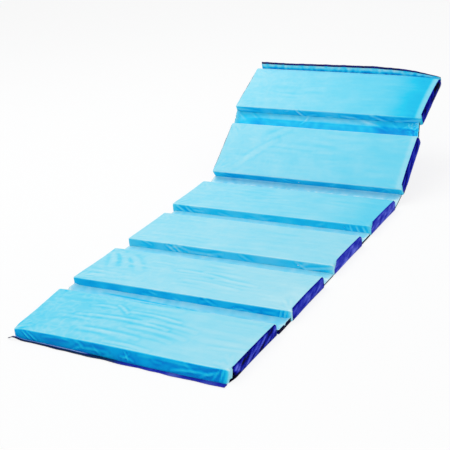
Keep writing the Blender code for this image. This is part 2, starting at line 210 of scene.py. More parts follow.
pad_places = {
    1: (along_mat(creases["fold_1"], 0, -FOLD_WIDTH / 2 - FOOT_PAD_LENGTH), 0.0),
    2: (along_mat(creases["fold_1"], 0, FOLD_WIDTH / 2), 0.0),
    3: (along_mat(creases["fold_2_rear_crease"], 0, CREASE_SETBACK), 0.0),
    4: (along_mat(creases["fold_3"], 0, FOLD_WIDTH / 2), 0.0),
    5: (along_mat(creases["fold_4_rear_crease"], BACKREST_TILT, CREASE_SETBACK), BACKREST_TILT),
    6: (along_mat(creases["fold_5"], HEAD_TILT, FOLD_WIDTH / 2) - Vector((HEAD_SHIFT, 0, 0)), HEAD_TILT),
}


def on_mat(points, origin, angle):
    """Points from a pad's or web's own frame, moved to where it lies."""
    across, along, height = np.asarray(points, float).T
    return np.stack([
        across + origin.x,
        origin.y + along * math.cos(angle) - height * math.sin(angle),
        origin.z + along * math.sin(angle) + height * math.cos(angle),
    ], 1)


def lines(half, step):
    """Places across a span, even between its rounded corners and close together round them."""
    straight = half - CORNER
    count = 2 * round(straight / step)
    round_off = CORNER * np.array(CORNER_SHARES)
    return np.concatenate([
        -straight - round_off[::-1], np.linspace(-straight, straight, count + 1), straight + round_off])


def rounded(across, along, half_width, half_length, radius):
    """A table of places on a rectangle, moved to one with rounded corners."""
    out_x = np.clip((abs(across) - half_width + CORNER) / CORNER, 0, 1)
    out_y = np.clip((abs(along) - half_length + CORNER) / CORNER, 0, 1)
    length = np.maximum(np.hypot(out_x, out_y), 1e-9)
    share = np.maximum(out_x, out_y) / length
    x = np.where(out_x > 0, half_width - CORNER + radius * out_x * share, abs(across))
    y = np.where(out_y > 0, half_length - CORNER + radius * out_y * share, abs(along))
    outward = np.stack([np.sign(across) * out_x / length, np.sign(along) * out_y / length], -1)
    return x * np.sign(across), y * np.sign(along), outward


def quads_over(index):
    """Quads over a table of point numbers."""
    return np.stack([index[:-1, :-1], index[1:, :-1], index[1:, 1:], index[:-1, 1:]], -1).reshape(-1, 4)


def slab(step):
    """A closed slab with rounded edges, in rings from its top to its underside.

    Gives its points with their outward normals, its faces, and each face's ring and wall.
    """
    half_width, half_length = MAT_WIDTH / 2, PAD_LENGTH / 2
    across, along = lines(half_width, step), lines(half_length, step)
    columns, rows = len(across), len(along)
    table_x, table_y = np.meshgrid(across, along, indexing="ij")
    loop = [(i, 0) for i in range(columns - 1)] + [(columns - 1, j) for j in range(rows - 1)]
    loop += [(i, rows - 1) for i in range(columns - 1, 0, -1)] + [(0, j) for j in range(rows - 1, 0, -1)]
    loop_i, loop_j = np.array(loop).T
    x, y, outward = rounded(table_x, table_y, half_width, half_length, CORNER - SHOULDER)
    edge_x, edge_y, edge_out = x[loop_i, loop_j], y[loop_i, loop_j], outward[loop_i, loop_j]
    profile = [(SHOULDER * math.sin(t), THICKNESS - SHOULDER * (1 - math.cos(t)), math.cos(t))
               for t in map(math.radians, SHOULDER_TURNS)]
    wall_rows = round((THICKNESS - SHOULDER - HEEL) / WALL_STEP)
    profile += [(SHOULDER, z, 0.0) for z in np.linspace(THICKNESS - SHOULDER, HEEL, wall_rows + 1)[1:]]
    profile += [(SHOULDER - HEEL * (1 - math.cos(t)), HEEL * (1 - math.sin(t)), -math.sin(t))
                for t in map(math.radians, HEEL_TURNS)]
    points, normals, faces, marks = [], [], [], []

    def add(px, py, pz, nx, ny, nz):
        points.append(np.stack([px, py, pz], -1).reshape(-1, 3))
        normals.append(np.stack([nx, ny, nz], -1).reshape(-1, 3))

    flat = np.zeros_like(x)
    add(x, y, flat + THICKNESS, flat, flat, flat + 1)
    index = np.arange(columns * rows).reshape(columns, rows)
    faces.append(quads_over(index))
    marks.append(np.tile([0, FRONT_END], (len(faces[0]), 1)))
    last = index[loop_i, loop_j]
    start = columns * rows
    for number, (reach_out, z, lift) in enumerate(profile, 1):
        level_share = math.sqrt(max(0.0, 1 - lift * lift))
        add(edge_x + edge_out[:, 0] * reach_out, edge_y + edge_out[:, 1] * reach_out, np.full(len(loop), z),
            edge_out[:, 0] * level_share, edge_out[:, 1] * level_share, np.full(len(loop), lift))
        ring = start + np.arange(len(loop))
        start += len(loop)
        faces.append(np.stack([last, ring, np.roll(ring, -1), np.roll(last, -1)], -1))
        middle = (edge_out + np.roll(edge_out, -1, 0)) / 2
        wall = np.where(middle[:, 1] > REAR_FACING, REAR_END, FRONT_END)
        wall = np.where(abs(middle[:, 0]) > SIDE_FACING, SIDE, wall)
        marks.append(np.stack([np.full(len(loop), number), wall], -1))
        last = ring
    x, y, _ = rounded(table_x, table_y, half_width, half_length, CORNER - HEEL)
    under = np.full((columns, rows), -1)
    under[loop_i, loop_j] = last
    inside = np.ones((columns, rows), bool)
    inside[loop_i, loop_j] = False
    under[inside] = start + np.arange(inside.sum())
    flat = np.zeros(inside.sum())
    add(x[inside], y[inside], flat, flat, flat, flat - 1)
    faces.append(quads_over(under)[:, [0, 3, 2, 1]])
    marks.append(np.tile([len(profile) + 1, SIDE], (len(faces[-1]), 1)))
    points, normals = np.concatenate(points), np.concatenate(normals)
    points[:, 1] += PAD_LENGTH / 2
    return points, normals, np.concatenate(faces), np.concatenate(marks)


def smooth_step(low, high, value):
    """Rises smoothly from 0 to 1 as a value goes from a low to a high limit."""
    share = np.clip((value - low) / (high - low), 0, 1)
    return share * share * (3 - 2 * share)


def bulge_at(across, share, pad):
    """How far a pad's side lies outside the straight one, at a share of the pad's length."""
    left_front, left_rear, right_front, right_rear = (bulge / 1000 for bulge in CORNER_BULGES[pad])
    left = left_front + (left_rear - left_front) * share
    return np.where(across < 0, left, right_front + (right_rear - right_front) * share)


def sag_at(across, share):
    """How far the head pad sags, at places across it and shares of its length."""
    return HEAD_SAG * np.clip(across / (MAT_WIDTH / 2), 0, 1) ** 3 * share**2


def pull_at(across):
    """How far the foot end is pulled out at places across it."""
    return FOOT_PULL * smooth_step(*FOOT_PULL_SPAN, across)


def lift_at(across, along):
    """The share of the lift that the foot end's left corner has at places near it."""
    foot_half = MAT_WIDTH / 2 - FOOT_DRAW_IN
    near_corner = smooth_step(foot_half - FOOT_LIFT_WIDTH, foot_half, -across)
    return near_corner * smooth_step(*FOOT_LIFT_SPAN, along)


def drawn_to_shape(points, pad):
    """Gives a slab its pad's shape: crowned and bulging, sagging at the head, pulled at the foot."""
    across, along, height = points.T.copy()
    middle = np.clip(2 * along / PAD_LENGTH - 1, -1, 1)
    side = np.clip(abs(across) / (MAT_WIDTH / 2), 0, 1)
    high = np.clip(height / THICKNESS, 0, 1)
    height = height + CROWN * (1 - side**4) * (1 - middle**2) * high
    share = np.clip(along / PAD_LENGTH, 0, 1)
    narrow = SIDE_DRAW_IN * (1 - middle**2) - bulge_at(across, share, pad)
    if pad == PADS[0]:
        narrow = narrow + FOOT_DRAW_IN * (1 - share)
        narrow = narrow + FOOT_CORNER_IN * smooth_step(*FOOT_CORNER_SPAN, along) * (across > 0)
        along = along + (FOOT_PAD_LENGTH - PAD_LENGTH) * share - pull_at(across) * (1 - share) ** 2
    if pad == PADS[-1]:
        height = height - sag_at(across, share)
    across = across * (1 - narrow / (MAT_WIDTH / 2))
    if pad == PADS[0]:
        lifted = lift_at(across, along)
        height = height * (1 - FOOT_SQUASH * lifted) + FOOT_LIFT * lifted
    return np.stack([across, along, height], 1)


def add_mesh(name, points, faces, material, tone=None):
    """Links a smooth mesh with its material, and its tone at each point for the material."""
    used, compact = np.unique(faces, return_inverse=True)
    mesh = bpy.data.meshes.new(name)
    mesh.from_pydata(points[used].tolist(), [], compact.reshape(np.shape(faces)).tolist())
    mesh.shade_smooth()
    mesh.materials.append(material)
    if tone is not None:
        shades = mesh.attributes.new("tone", "FLOAT", "POINT")
        shades.data.foreach_set("value", tone[used].astype(np.float32))
    made = bpy.data.objects.new(name, mesh)
    bpy.context.scene.collection.objects.link(made)
    return made


# Cut polyethylene foam: closed cells about 1 mm wide, sawn open, which look matt, white and pitted
foam, tree, shader, place = new_material("cut polyethylene foam")
cells = add_node(tree, "TexVoronoi", {"Vector": place, "Scale": 1 / FOAM_CELL}).outputs["Distance"]
shade = add_node(tree, "MixRGB", {0: cells, 1: linear(FOAM_WHITE), 2: linear(FOAM_SHADE)})
tree.links.new(shade.outputs[0], shader.inputs["Base Color"])
shader.inputs["Roughness"].default_value = FOAM_ROUGHNESS
pitted = add_node(tree, "Bump", {"Height": cells, "Distance": FOAM_PITTING, "Strength": FOAM_RELIEF})
tree.links.new(pitted.outputs[0], shader.inputs["Normal"])
for pad in PADS:
    points, normals, faces, _ = slab(FOAM_STEP)
    points = drawn_to_shape(points - normals * COVER_GAP, pad)
    core = add_mesh(f"foam_slab_{pad}", on_mat(points, *pad_places[pad]), faces, foam)
    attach(core, f"panel_{pad}")
    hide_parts(f"foam_core_{pad}")

# Top covers: one light blue sheet of calendered PVC, 0.25 mm thick and satin, over each slab and
# down its two ends. Pressed creases stand where it is drawn tight; the ends are painted deeper
# blue as shade.
COVER_COLOURS = (
    (0.0, "#D4F7FD"), (0.14, "#AAE7F7"), (0.34, "#74DCF6"),
    (0.56, "#28D0F6"), (0.78, "#02B2EE"), (1.0, "#0088DE"),
)
COVER_STEP, NOISE_APART, OTHER_NOISE = 0.0035, 0.9, 5.0
# Waves in the sheet: how high and how long they are on a top, on a wall and along a loose edge
TOP_WAVE, TOP_WAVE_SPAN = 0.0010, 0.075
FINE_WAVE, FINE_WAVE_SPAN = 0.00020, 0.016
WALL_WAVE, WALL_WAVE_SPAN, WALL_CRUMPLE_SPAN = 0.0010, 0.024, 0.03
EDGE_WAVE, EDGE_WAVE_SPAN, EDGE_SHARPNESS, REAR_LOOSENESS = 0.0010, 0.020, 4, 0.35
# How loosely each top lies, which is less towards the right, and how slack it is at the left
LOOSENESS = {1: 1.0, 2: 0.75, 3: 0.4, 4: 0.5, 5: 0.5, 6: 0.35}
RIGHT_TIGHTNESS, RIGHT_TIGHTNESS_SPAN = 0.6, (0.1, 0.7)
SLACK, USUAL_SLACK, SLACK_SIDES, SLACK_WAVE, SLACK_SPAN = {1: 0.9, 2: 0.4}, 0.3, (0.6, -0.9), 0.0005, 0.020
# How deep the blue is, from 0 to 1 along the colours: on each top, the sheet's tint with painted
# shade set for how each pad is lit, and a painted sheen that leans it from left to right more and
# more from an even pad on; on each front wall painted shade, with a painted highlight at its right end
TOP_TINTS_AND_SHADE = {1: 0.26, 2: 0.19, 3: 0.20, 4: 0.25, 5: 0.27, 6: 0.31}
SHEEN_LEAN, EVEN_PAD = 0.040, 3.2
WALL_SHADE_DEPTHS = {1: 0.86, 2: 0.66, 3: 0.46, 4: 0.55, 5: 0.66, 6: 0.58}
WALL_CLOUD, WALL_CLOUD_SPAN, WALL_FACING_SPAN = 0.14, 0.045, (0.55, 0.95)
# Painted highlights at a wall's right corner, along a top's shoulder rim and along the right edge of the
# head pads; painted shade towards the right of two pads, where a top is slack and in pinches; painted
# highlights on a slack top's crumples
WALL_END_HIGHLIGHT, USUAL_END_HIGHLIGHT, WALL_END_SPAN = {1: 0.30, 2: 0.30}, 0.10, (0.93, 0.99)
RIM_HIGHLIGHT, RIM_FACING, RIM_WIDTH, RIM_TOP_SHARE = 0.16, 0.5, 0.22, 3
RIGHT_SHADE, RIGHT_SHADE_SPAN = {4: 0.11, 6: 0.22}, (0.50, 0.90)
EDGE_HIGHLIGHT, EDGE_HIGHLIGHT_SPAN = {5: 0.12, 6: 0.34}, (0.915, 0.955)
SLACK_SHADE, CRUMPLE_HIGHLIGHT, PINCH_SHADE = 0.04, 0.12, 0.05
# How much painted shade deepens furrows and painted highlight pales ridges, and the depth at which
# they do so in full
TOP_FURROW_SHADE, TOP_RIDGE_HIGHLIGHT = (0.15, 0.0002), (0.12, 0.001)
WALL_FURROW_SHADE, WALL_RIDGE_HIGHLIGHT = (0.16, 0.0003), (0.30, 0.0014)
# The foot pad's rear rim has a painted shadow line along it: its place from the end, its width and
# its reach
RIM_SHADOW, RIM_LINE_PLACE, RIM_LINE_WIDTH = 0.32, 0.0030, 0.0026
RIM_LINE_MIDDLE, RIM_LINE_REACH = 0.10, (0.40, 0.20)
# How far the foot wall's lower edge is kicked out towards the right, and how far up and back
FOOT_KICK, FOOT_KICK_SPAN, FOOT_KICK_FALL, FOOT_KICK_BACK = 0.013, (-0.28, 0.10), 1.5, (0.03, 0.004)
# How far the light sheet reaches round each pad's front right corner, rising towards the front
CORNER_WRAPS = {1: 0.002, 2: 0.004, 3: 0.010, 4: 0.008, 5: 0.005, 6: 0.004}
WRAP_START, WRAP_ROOM, SHOULDER_RINGS = 0.0005, 0.001, len(SHOULDER_TURNS) - 1
# Tops that meet when the mat is folded shut lie lower near that end
CLOSING_ENDS, CLOSING_ROOM, CLOSING_SLOPE = {2: "rear", 3: "front", 4: "rear", 5: "front"}, 0.00018, 0.0048
# A crease is a face of the pad, its start and end as (across, along or height) from the pad's
# middle and front edge, how far its middle bows aside, its height and its half width, all in mm
PRESSED_CREASES = {
    1: (
        ("top", (-196, 102), (84, 98), 12, 0.80, 4.5), ("top", (-64, 147), (96, 136), 5, 0.65, 4.0),
        ("top", (-108, 168), (-62, 138), 3, 0.90, 3.5), ("top", (-138, 46), (34, 42), 5, 0.60, 5.0),
        ("top", (-46, 14), (92, 9), 3, 0.45, 4.0), ("top", (36, 62), (122, 54), 3, 0.40, 4.5),
        ("top", (-178, 150), (-108, 156), 3, 0.60, 4.0), ("top", (-252, 82), (-150, 88), 4, 0.40, 5.0),
        ("top", (-24, 88), (150, 74), 6, 0.45, 5.0), ("top", (0, 120), (160, 108), 5, 0.40, 5.0),
        ("front", (-294, 25), (-272, 5), 0, 1.5, 2.6), ("front", (-278, 25), (-250, 4), 0, 1.2, 2.4),
        ("front", (18, 11), (58, 6), 2, 1.2, 2.4), ("front", (30, 23), (44, 4), 0, 1.2, 2.2),
        ("front", (44, 20), (26, 6), 0, 1.0, 2.2), ("front", (168, 6), (292, 11), 4, 1.3, 2.8),
        ("front", (70, 22), (240, 20), 3, 0.7, 3.0), ("front", (250, 5), (296, 20), 0, 1.4, 2.8),
        ("front", (284, 3), (300, 25), 0, 1.6, 2.6), ("front", (304, 3), (310, 26), 0, 1.4, 2.6),
        ("front", (-120, 8), (-20, 12), 3, 0.8, 3.0), ("front", (-230, 20), (-150, 24), 2, 0.8, 3.0),
    ),
    2: (
        ("top", (-308, 172), (-262, 92), 4, 0.40, 8), ("top", (-286, 182), (-222, 96), 6, 0.40, 8),
        ("top", (-258, 176), (-168, 84), 8, 0.35, 8), ("top", (-64, 122), (96, 104), 5, 0.45, 5),
        ("top", (-24, 72), (146, 60), 4, 0.35, 5), ("top", (60, 100), (186, 90), 4, 0.35, 5),
        ("front", (150, 6), (190, 15), 0, 1.4, 2.4), ("front", (168, 14), (238, 4), 2, 1.2, 2.6),
        ("front", (292, 4), (298, 26), 0, 1.5, 2.4), ("front", (304, 3), (309, 26), 0, 1.5, 2.4),
    ),
    3: (
        ("front", (-192, 24), (-166, 8), 0, 1.2, 3.2), ("front", (-168, 25), (-142, 4), 0, 1.1, 3.2),
        ("front", (-120, 12), (-30, 9), 2, 0.9, 3.4), ("front", (240, 8), (318, 20), 0, 1.0, 3.4),
    ),
    4: (
        ("front", (-306, 25), (-276, 5), 0, 1.2, 3.2), ("front", (-276, 25), (-252, 4), 0, 1.1, 3.2),
        ("front", (262, 25), (270, 4), 0, 1.1, 3.0), ("front", (282, 25), (292, 4), 0, 1.1, 3.0),
        ("front", (302, 25), (312, 4), 0, 1.1, 3.0),
    ),
    5: (("top", (-246, 34), (-142, 142), 4, 0.24, 8), ("top", (-176, 148), (-112, 192), 2, 0.24, 8)),
    6: (
        ("front", (-318, 18), (-240, 12), 2, 0.8, 4.0), ("front", (-98, 27), (-76, 4), 0, 1.5, 3.5),
        ("front", (60, 16), (120, 6), 2, 0.9, 4.0), ("front", (160, 26), (214, 2), 0, 1.2, 4.5),
        ("front", (240, 10), (318, 20), 0, 1.0, 4.0),
    ),
}
# Where the sheet is pinched at a weld: places across and up each front wall, in millimetres, with
# the depth and radius of a pinch
PINCHES = {2: ((166, 13), (243, 4)), 3: ((-19, 10), (222, 16), (228, 7)), 4: ((246, 15),), 5: ((-16, 14),)}
PINCH_DEPTH, PINCH_RADIUS = 0.0016, 0.005
# Creases strewn by a seeded generator over each face: how many, then the least and most of their
# length, height and half width in millimetres, and how far they turn from level in degrees
STREWN = {
    "top": (12, (60, 190), (0.15, 0.35), (4, 7), 7), "front": (8, (14, 50), (0.4, 0.8), (2.6, 4.0), 35),
    "rear": (12, (14, 56), (0.5, 1.0), (2.6, 4.0), 35), "under": (16, (40, 170), (0.5, 1.0), (3, 5), 35),
}
# How far across, how far along or up, and how much bowed the strewn creases may lie
STREWN_SEED, STREWN_REACH, STREWN_RISE, STREWN_BOW = 100, 290, (0.14, 0.86), 0.08
# Pleats fan out from each corner of a top, in millimetres, between two turns in degrees
PLEATS_AT_CORNER, PLEAT_LENGTH, PLEAT_HEIGHT, PLEAT_WIDTH = 4, (26, 60), (0.3, 0.6), 3.6
PLEAT_FIRST_TURN, PLEAT_FAN, PLEAT_SCATTER = 12, 66, 0.8
# A crease fades at its ends and has a furrow at each side: its share and how many half widths out
END_FADE, FURROW_SHARE, FURROW_PLACE = 0.05, 0.35, 1.9
# A crumple's ridges: how much they wind, how thin they are and how crisp
CRUMPLE_WARP, CRUMPLE_SHIFTS, CRUMPLE_THINNESS, CRUMPLE_CRISPNESS = 0.4, (3.1, 8.7), 2.6, 1.4


def ripple(points, span):
    """Smooth noise between -1 and 1 at each point, whose waves are about a span long."""
    return np.array([noise.noise(Vector(point) / span) for point in points])


def crumple(points, span):
    """Crisp winding ridges between 0 and 1, as a stiff film takes when it is crushed."""
    first, second = (ripple(points + shift, span) for shift in CRUMPLE_SHIFTS)
    warped = points + CRUMPLE_WARP * span * np.stack([first, second, first], 1)
    return np.clip(1 - CRUMPLE_THINNESS * abs(ripple(warped, span)), 0, 1) ** CRUMPLE_CRISPNESS


def ridges(points, table, facing):
    """How far a sheet stands out at each point for the creases of a table."""
    height = np.zeros(len(points))
    for face, start, end, bow, high, half_width in table:
        flat = points[:, [0, 1]] if face in ("top", "under") else points[:, [0, 2]]
        start, end = np.array(start) / 1000, np.array(end) / 1000
        run = end - start
        long = math.hypot(*run)
        share = np.clip((flat - start) @ run / long**2, 0, 1)
        aside = (flat - start) @ np.array([-run[1], run[0]]) / long - bow / 1000 * 4 * share * (1 - share)
        beyond = (flat - start) @ run / long - share * long
        fade = np.sqrt(np.sin(np.pi * (share * (1 - 2 * END_FADE) + END_FADE)))
        away = np.hypot(aside, beyond) * 1000 / half_width
        bump = np.exp(-away**2) - FURROW_SHARE * np.exp(-((away - FURROW_PLACE) ** 2))
        height += facing[face] * high / 1000 * fade * bump
    return height


def strewn_creases(pad):
    """Creases placed by chance on a pad, the same ones each run."""
    chance = np.random.default_rng(STREWN_SEED + pad)
    table = []
    for face, (count, length, height, half_width, most_turn) in STREWN.items():
        tall = length_of(pad) * 1000 if face in ("top", "under") else THICKNESS * 1000
        for _ in range(count):
            across = chance.uniform(-STREWN_REACH, STREWN_REACH)
            middle = np.array([across, chance.uniform(*STREWN_RISE) * tall])
            turn = math.radians(chance.uniform(-most_turn, most_turn))
            half = np.array([math.cos(turn), math.sin(turn)]) * chance.uniform(*length) / 2
            bow = chance.uniform(-STREWN_BOW, STREWN_BOW) * np.linalg.norm(half)
            high = chance.uniform(*height)
            table.append((face, middle - half, middle + half, bow, high, chance.uniform(*half_width)))
    for side in (-1, 1):
        for end in (0, 1):
            near_end = abs(end * length_of(pad) - SHOULDER)
            corner = np.array([side * (MAT_WIDTH / 2 - SHOULDER), near_end]) * 1000
            for number in range(PLEATS_AT_CORNER):
                step = (number + chance.uniform(0, PLEAT_SCATTER)) / PLEATS_AT_CORNER
                turn = math.radians(PLEAT_FIRST_TURN + PLEAT_FAN * step)
                out = np.array([-side * math.cos(turn), (1 - 2 * end) * math.sin(turn)])
                tip = corner + out * chance.uniform(*PLEAT_LENGTH)
                table.append(("top", corner, tip, 0, chance.uniform(*PLEAT_HEIGHT), PLEAT_WIDTH))
    return table


def shaded(depth, share, full_depth):
    """The share of tone that a furrow of some depth adds as painted shade, and a ridge as painted
    highlight.
    """
    return share * np.clip(depth / full_depth, 0, 1)


# Real sheet has a grain of about 0.2 mm, too fine to show: it is drawn over ten times as coarse.
# Clouds and streaks are as long and wide as the photograph shows them.
PVC_IOR, GRAIN_RELIEF = 1.53, 0.3
CLOUD_SPAN, CLOUD_DETAIL, CLOUD_ROUGHNESS = 0.0909, 5.0, 0.62
ROLL_LENGTH, ROLL_WIDTH, ROLL_DETAIL, ROLL_SHARE = 0.1111, 0.01818, 3.0, 0.4
MOTTLE_FROM, MOTTLE_TO, GLOSS_FROM, GLOSS_TO = 0.3, 0.7, 0.28, 0.5
MOTTLE_DEPTH, ROLL_DEPTH, ROLL_RELIEF = 0.07, 0.0015, 0.35


def toned_sheet(name, colours, roughness, sheen, grain, detail, depth):
    """A PVC sheet with a grain, whose colour follows the tone given at each of its points.

    Gives the material, its tree, shader and coordinates, its tone, and its colour and grain nodes.
    """
    made, tree, shader, place = new_material(name)
    tone = add_node(tree, "Attribute", {}, attribute_name="tone").outputs["Fac"]
    lit = add_node(tree, "ValToRGB", {"Fac": tone})
    stops = lit.color_ramp.elements
    stops.remove(stops[1])
    stops[0].color = linear(colours[0][1])
    for share, colour in colours[1:]:
        stops.new(share).color = linear(colour)
    tree.links.new(lit.outputs[0], shader.inputs["Base Color"])
    shader.inputs["Roughness"].default_value = roughness
    shader.inputs["IOR"].default_value = PVC_IOR
    shader.inputs["Specular IOR Level"].default_value = sheen
    grains = add_node(tree, "TexNoise", {"Vector": place, "Scale": 1 / grain, "Detail": detail})
    bump = add_node(tree, "Bump", {
        "Height": grains.outputs["Fac"], "Distance": depth, "Strength": GRAIN_RELIEF})
    tree.links.new(bump.outputs[0], shader.inputs["Normal"])
    return made, tree, shader, place, tone, lit, bump


# Satin calendered PVC: rolled flat between drums, which leaves a soft sheen in clouds and faint
# streaks across the mat, in the same light blue all through; its tone at each point also carries
# painted shade, which deepens the blue, and painted highlights, which pale it
vinyl, tree, shader, place, tone, lit, bump = toned_sheet(
    "satin calendered PVC sheet", COVER_COLOURS, roughness=GLOSS_TO, sheen=0.04, grain=0.003125,
    detail=4.0, depth=0.0004)
clouds = add_node(tree, "TexNoise", {
    "Vector": place, "Scale": 1 / CLOUD_SPAN, "Detail": CLOUD_DETAIL, "Roughness": CLOUD_ROUGHNESS})
rolled = add_node(tree, "Mapping", {
    "Vector": place, "Scale": (1 / ROLL_LENGTH, 1 / ROLL_WIDTH, 1 / ROLL_WIDTH)})
streaks = add_node(tree, "TexNoise", {"Vector": rolled.outputs[0], "Scale": 1.0, "Detail": ROLL_DETAIL})
mottle = add_node(tree, "MixRGB", {0: ROLL_SHARE, 1: clouds.outputs["Fac"], 2: streaks.outputs["Fac"]})
shift = add_node(tree, "MapRange", {
    "Value": mottle.outputs[0], "From Min": MOTTLE_FROM, "From Max": MOTTLE_TO,
    "To Min": -MOTTLE_DEPTH, "To Max": MOTTLE_DEPTH})
deep = add_node(tree, "Math", {0: tone, 1: shift.outputs[0]}, operation="ADD", use_clamp=True)
tree.links.new(deep.outputs[0], lit.inputs["Fac"])
gloss = add_node(tree, "MapRange", {
    "Value": clouds.outputs["Fac"], "To Min": GLOSS_FROM, "To Max": GLOSS_TO})
tree.links.new(gloss.outputs[0], shader.inputs["Roughness"])
film = add_node(tree, "Bump", {
    "Height": streaks.outputs["Fac"], "Distance": ROLL_DEPTH, "Strength": ROLL_RELIEF,
    "Normal": bump.outputs[0]})
tree.links.new(film.outputs[0], shader.inputs["Normal"])

covers = {}
for pad in PADS:
    points, normals, faces, marks = slab(COVER_STEP)
    own = points + np.array([0.0, pad * NOISE_APART, 0.0])
    across, along, height = points.T
    to_right = across / (MAT_WIDTH / 2)
    facing = {
        "top": np.clip(normals[:, 2], 0, 1), "under": np.clip(-normals[:, 2], 0, 1),
        "front": np.clip(-normals[:, 1], 0, 1), "rear": np.clip(normals[:, 1], 0, 1)}
    on_ends = facing["front"] + facing["rear"]
    wave = TOP_WAVE * facing["top"] * ripple(own, TOP_WAVE_SPAN)
    wave += FINE_WAVE * facing["top"] * ripple(own + OTHER_NOISE, FINE_WAVE_SPAN)
    loose_edge = np.minimum(EDGE_SHARPNESS * facing["top"] * on_ends, 1)
    loose_edge *= facing["front"] + REAR_LOOSENESS * facing["rear"]
    wave += EDGE_WAVE * loose_edge * ripple(own * [1, 0, 0] + pad, EDGE_WAVE_SPAN)
    bulge = np.sin(np.pi * np.clip(height / THICKNESS, 0, 1))
    wave += WALL_WAVE * on_ends * bulge * (ripple(own, WALL_WAVE_SPAN) + crumple(own, WALL_CRUMPLE_SPAN))
    creased = ridges(points, strewn_creases(pad), facing)
    tight = 1 - LOOSENESS[pad] * (1 - RIGHT_TIGHTNESS * smooth_step(*RIGHT_TIGHTNESS_SPAN, to_right))
    creased *= 1 - facing["top"] * tight
    creased += ridges(points, PRESSED_CREASES.get(pad, ()), facing)
    pinched = np.zeros(len(points))
    for x, z in PINCHES.get(pad, ()):
        away = np.hypot(across - x / 1000, height - z / 1000) / PINCH_RADIUS
        pinched += facing["front"] * np.exp(-away**2)
    wave += creased - PINCH_DEPTH * pinched
    slack = SLACK.get(pad, USUAL_SLACK) * smooth_step(*SLACK_SIDES, to_right)
    crushed = crumple(own, SLACK_SPAN) * facing["top"] * slack
    wave += SLACK_WAVE * crushed
    # The tops' tone: each pad's tint and painted shade, a painted sheen across it, painted shade in
    # furrows, where slack and towards the right of some pads, and painted highlights on ridges and crumples
    tone = TOP_TINTS_AND_SHADE[pad] + SHEEN_LEAN * (pad - EVEN_PAD) * to_right
    tone += facing["top"] * (shaded(-creased, *TOP_FURROW_SHADE) - shaded(creased, *TOP_RIDGE_HIGHLIGHT))
    tone += SLACK_SHADE * slack - CRUMPLE_HIGHLIGHT * crushed
    tone += RIGHT_SHADE.get(pad, 0) * smooth_step(*RIGHT_SHADE_SPAN, to_right)
    # The walls' tone: painted shade that deepens the blue, with random clouds, painted shade in pinches and
    # furrows, and painted highlights on ridges and at the right end
    wall_tone = WALL_SHADE_DEPTHS[pad] + WALL_CLOUD * ripple(own, WALL_CLOUD_SPAN) + PINCH_SHADE * pinched
    wall_tone += shaded(-creased, *WALL_FURROW_SHADE) - shaded(creased, *WALL_RIDGE_HIGHLIGHT)
    wall_tone -= WALL_END_HIGHLIGHT.get(pad, USUAL_END_HIGHLIGHT) * smooth_step(*WALL_END_SPAN, to_right)
    tone += (wall_tone - tone) * smooth_step(*WALL_FACING_SPAN, on_ends)
    # A painted highlight along each top's shoulder rim; a painted shadow line along the foot pad's rear
    # rim; a painted highlight along the right edge of the head pads
    rim = np.exp(-((on_ends - RIM_FACING) / RIM_WIDTH) ** 2) * np.clip(facing["top"] * RIM_TOP_SHARE, 0, 1)
    tone -= RIM_HIGHLIGHT * rim
    if pad == PADS[0]:
        rim_shadow = np.exp(-((PAD_LENGTH - along - RIM_LINE_PLACE) / RIM_LINE_WIDTH) ** 2) * facing["top"]
        tone += RIM_SHADOW * rim_shadow * smooth_step(*RIM_LINE_REACH, abs(to_right - RIM_LINE_MIDDLE))
    tone -= EDGE_HIGHLIGHT.get(pad, 0) * smooth_step(*EDGE_HIGHLIGHT_SPAN, to_right) * facing["top"]
    if pad in CLOSING_ENDS:
        room = CLOSING_ROOM + CLOSING_SLOPE * abs(along - PAD_LENGTH * (CLOSING_ENDS[pad] == "rear"))
        wave = np.where(facing["top"] > 0, np.minimum(wave, room), wave)
    points = drawn_to_shape(points + normals * wave[:, None], pad)
    points[:, 2] = np.maximum(points[:, 2], 0)
    if pad == PADS[0]:
        low = np.clip(1 - height / THICKNESS, 0, 1) ** FOOT_KICK_FALL
        low *= smooth_step(*FOOT_KICK_BACK, points[:, 1] + pull_at(across))
        points[:, 1] -= FOOT_KICK * smooth_step(*FOOT_KICK_SPAN, across) * low
    world_points = on_mat(points, *pad_places[pad])
    face_x, face_y, face_z = points[faces].mean(1).T
    wrap_height = THICKNESS * (1 - np.exp(-np.maximum(face_y, WRAP_START) / CORNER_WRAPS[pad]))
    below_shoulder = marks[:, 0] > SHOULDER_RINGS
    blue = (below_shoulder | (face_x > 0) & (marks[:, 0] > 0)) & (marks[:, 1] == SIDE)
    blue &= face_z < wrap_height + WRAP_ROOM
    behind = below_shoulder & (marks[:, 1] == REAR_END) & (pad == PADS[-1])
    covers[pad] = (world_points, normals, faces, blue, points, behind)
    cover = add_mesh(f"top_cover_{pad}", world_points, faces[~(blue | behind)], vinyl, np.clip(tone, 0, 1))
    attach(cover, f"panel_{pad}")
    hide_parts(f"top_sheet_{pad}")

# Bottom covers: the royal blue sheet of the same PVC, glossier, under each slab and turned up at
# its two sides, where it bulges between the corners and is pulled into long slanting streaks,
# painted as highlights along their crests with painted shade between.
ROYAL_COLOURS = ((0.0, "#02031C"), (0.25, "#080E90"), (0.5, "#2430BE"), (0.75, "#4450D2"), (1.0, "#7480F6"))
